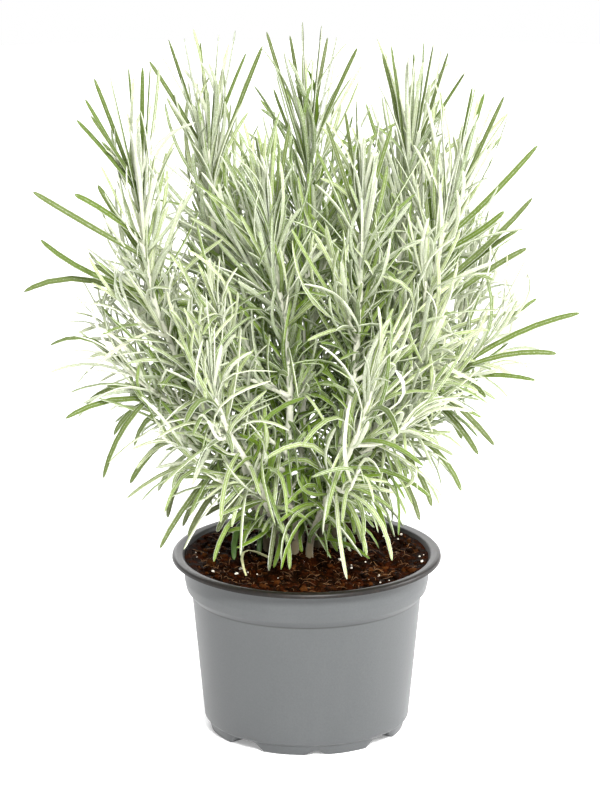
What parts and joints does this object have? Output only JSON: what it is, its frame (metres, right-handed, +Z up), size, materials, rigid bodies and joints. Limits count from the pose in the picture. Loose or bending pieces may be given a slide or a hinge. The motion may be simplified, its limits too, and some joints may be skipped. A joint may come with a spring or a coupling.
{
  "type": "potted curry plant",
  "caption": "Upright bushy herb with narrow silvery leaves on woolly stems, growing in compost in a round tapered nursery pot with a rolled rim and a notched foot ring.",
  "frame": {"origin": "centre of the pot's foot ring, on the surface that the pot stands on", "axes": "+Z up along the pot's axis and the plant's height, -Y the front that the picture shows, +X to the right of that view"},
  "size_m": [0.264, 0.224, 0.347],
  "materials": {
    "pot_plastic": "fine satin, dark inside",
    "compost": "crumbly and moist",
    "foliage": "downy"
  },
  "bodies": {
    "root": {"pot": "pot_plastic", "compost": "compost", "stem_front": "foliage", "stem_left": "foliage", "stem_back_left": "foliage", "stem_middle": "foliage", "stem_front_right": "foliage", "stem_right_top": "foliage", "stem_right": "foliage", "stem_low_left": "foliage", "stem_low_right": "foliage", "stem_rear_left": "foliage", "stem_rear": "foliage", "stem_rear_right": "foliage", "stem_far_left": "foliage", "stem_far_right": "foliage"}
  },
  "joints": []
}
